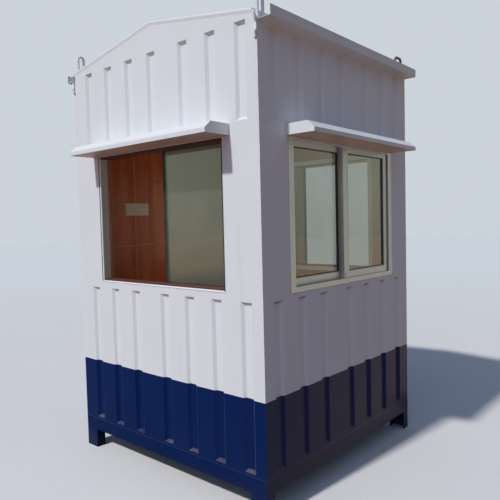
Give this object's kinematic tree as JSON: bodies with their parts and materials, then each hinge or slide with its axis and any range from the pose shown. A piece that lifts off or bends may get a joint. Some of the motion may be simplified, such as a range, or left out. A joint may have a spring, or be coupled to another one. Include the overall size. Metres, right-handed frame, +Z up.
{
  "type": "security guard booth",
  "caption": "Square guard booth of grooved painted steel sheets on a channel base, with sliding windows under folded visors, a side door, gutters, a low gable roof and lifting loops.",
  "frame": {"origin": "middle of the square plan, on the ground under the legs", "axes": "+Z up, -Y out of the front window, +X out of the framed side window, door on -X"},
  "size_m": [1.854, 1.854, 2.534],
  "materials": {
    "wall_paint": "white enamel, navy below the paint line",
    "base_paint": "navy enamel, dusty",
    "frame_primer": "red oxide primer",
    "wall_laminate": "brown laminate under clear film",
    "ceiling_laminate": "brown laminate",
    "floor_vinyl": "vinyl sheet on board",
    "window_aluminium": "champagne anodised",
    "track_aluminium": "mill finish",
    "pane_glass": "clear float glass, green edge",
    "door_paint": "white enamel",
    "handle_steel": "satin steel",
    "bare_steel": "bare bar, rusted"
  },
  "bodies": {
    "root": {"base_end_channels": "base_paint", "base_side_channels": "base_paint", "ceiling_board": "ceiling_laminate", "corner_posts": "frame_primer", "door_frame": "door_paint", "door_handle": "handle_steel", "door_hinges": "door_paint", "door_leaf": "door_paint", "floor_bearers": "base_paint", "floor_board": "floor_vinyl", "front_lifting_loops": "wall_paint", "front_lining": "wall_laminate", "front_lower_sheet": "wall_paint", "front_side_strips": "wall_paint", "front_upper_sheet": "wall_paint", "front_window_panes": "pane_glass", "front_window_surround": "wall_paint", "front_window_tracks": "track_aluminium", "gutters": "wall_paint", "left_front_sheet": "wall_paint", "left_lining": "wall_laminate", "left_over_door_sheet": "wall_paint", "left_rear_sheet": "wall_paint", "legs": "base_paint", "rear_lifting_loops": "bare_steel", "rear_lining": "wall_laminate", "rear_lower_sheet": "wall_paint", "rear_side_strips": "wall_paint", "rear_upper_sheet": "wall_paint", "rear_window_panes": "pane_glass", "rear_window_surround": "wall_paint", "rear_window_tracks": "track_aluminium", "ridge_bar": "frame_primer", "right_lining": "wall_laminate", "right_lower_sheet": "wall_paint", "right_side_strips": "wall_paint", "right_upper_sheet": "wall_paint", "right_window_surround": "wall_paint", "roof_left": "wall_paint", "roof_right": "wall_paint", "side_sash_far": "window_aluminium", "side_sash_near": "window_aluminium", "side_window_frame": "window_aluminium", "side_window_glass": "pane_glass", "top_rails": "frame_primer", "visor_front": "wall_paint", "visor_left": "wall_paint", "visor_rear": "wall_paint", "visor_right": "wall_paint"}
  },
  "joints": []
}
